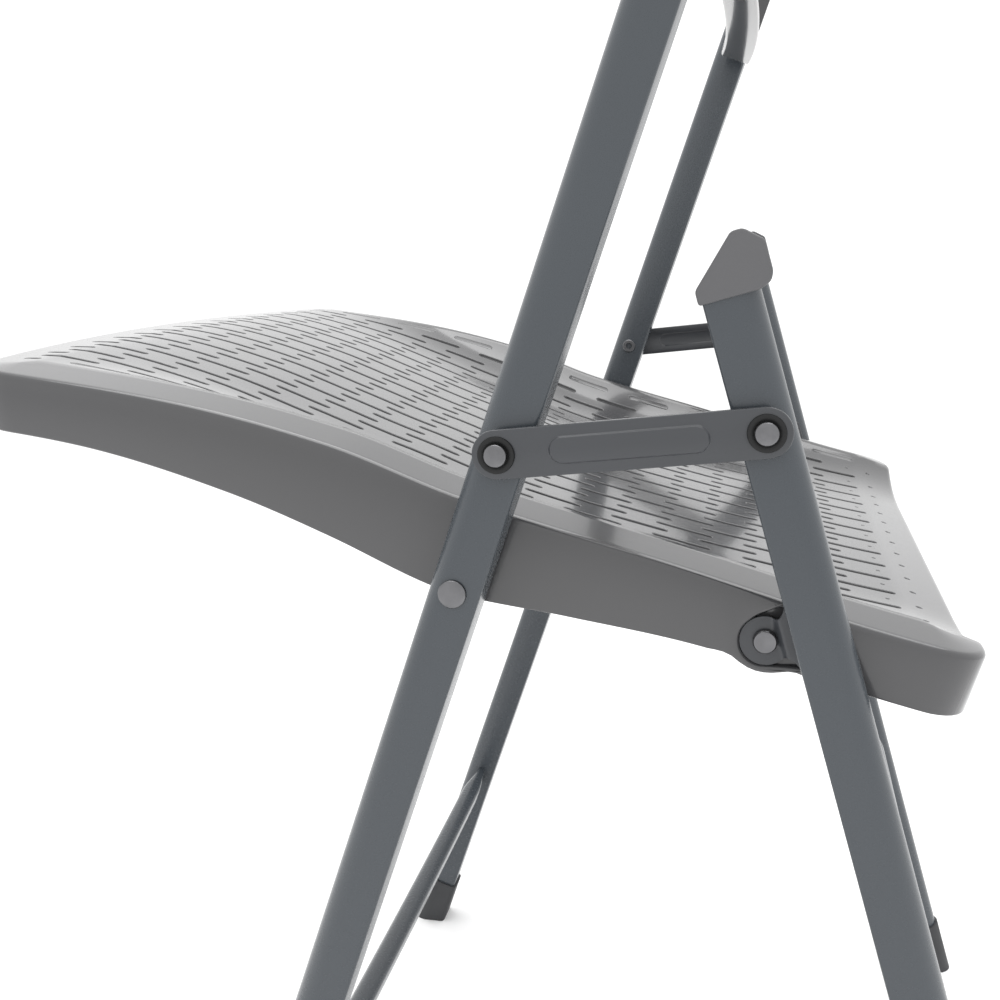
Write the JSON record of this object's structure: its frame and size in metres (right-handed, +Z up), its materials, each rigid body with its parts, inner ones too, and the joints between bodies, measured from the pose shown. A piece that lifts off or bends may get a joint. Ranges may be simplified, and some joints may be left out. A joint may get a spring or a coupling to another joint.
{
  "type": "folding chair",
  "caption": "Steel-framed folding chair with a perforated, dished moulded seat and moulded back, shown open; the seat swings up on link bars to fold the legs flat.",
  "frame": {"origin": "middle of the open chair's footprint box, on the floor", "axes": "+Z up, -X towards the sitter's front, -Y towards the sitter's left"},
  "size_m": [0.4697, 0.4342, 0.8315],
  "materials": {
    "frame_paint": "satin powder coat, slate grey",
    "shell_plastic": "moulded, semi-gloss grey",
    "cap_plastic": "moulded, matt mid grey",
    "black_nylon": "moulded, matt black",
    "foot_plastic": "moulded, matt dark grey",
    "rivet_steel": "zinc-plated"
  },
  "bodies": {
    "front_frame": {"front_tube_left": "frame_paint", "front_tube_right": "frame_paint", "front_crossbar": "frame_paint", "backrest": "shell_plastic", "backrest_screws": "rivet_steel", "upright_plugs": "foot_plastic", "front_foot_left": "foot_plastic", "front_foot_right": "foot_plastic", "seat_pivot_rivets": "rivet_steel", "seat_pivot_spacers": "black_nylon", "link_front_rivets": "rivet_steel"},
    "seat_assembly": {"seat": "shell_plastic", "seat_pivot_sleeves": "rivet_steel", "seat_hinge_sleeves": "rivet_steel"},
    "rear_frame": {"rear_tube_left": "frame_paint", "rear_tube_right": "frame_paint", "rear_crossbar": "frame_paint", "leg_cap_left": "cap_plastic", "leg_cap_right": "cap_plastic", "rear_foot_left": "foot_plastic", "rear_foot_right": "foot_plastic", "hinge_bracket_left": "frame_paint", "hinge_bracket_right": "frame_paint", "seat_hinge_rivets": "rivet_steel", "link_rear_rivet_tails": "rivet_steel"},
    "left_link": {"link_left": "frame_paint", "link_front_bush_left": "black_nylon", "link_rear_bush_left": "black_nylon", "link_rear_rivet_left": "rivet_steel"},
    "right_link": {"link_right": "frame_paint", "link_front_bush_right": "black_nylon", "link_rear_bush_right": "black_nylon", "link_rear_rivet_right": "rivet_steel"}
  },
  "joints": [
    {"name": "seat_fold", "type": "hinge", "parent": "front_frame", "child": "seat_assembly", "pos_m": [-0.01669, 0, 0.38863], "axis": [0, 1, 0], "range_deg": [0, 98.84]},
    {"name": "rear_leg_fold", "type": "hinge", "parent": "seat_assembly", "child": "rear_frame", "pos_m": [0.093, 0, 0.37077], "axis": [0, 1, 0], "range_deg": [-63.96, 0]},
    {"name": "link_left_turn", "type": "hinge", "parent": "front_frame", "child": "left_link", "pos_m": [0.0006, 0, 0.44], "axis": [0, 1, 0], "range_deg": [0, 101.43]},
    {"name": "link_right_turn", "type": "hinge", "parent": "front_frame", "child": "right_link", "pos_m": [0.0006, 0, 0.44], "axis": [0, 1, 0], "range_deg": [0, 101.43]}
  ],
  "couplings": [
    {"joint": "rear_leg_fold", "follows": "seat_fold", "ratio": -0.64692},
    {"joint": "link_left_turn", "follows": "seat_fold", "ratio": 1.026},
    {"joint": "link_right_turn", "follows": "seat_fold", "ratio": 1.026}
  ]
}
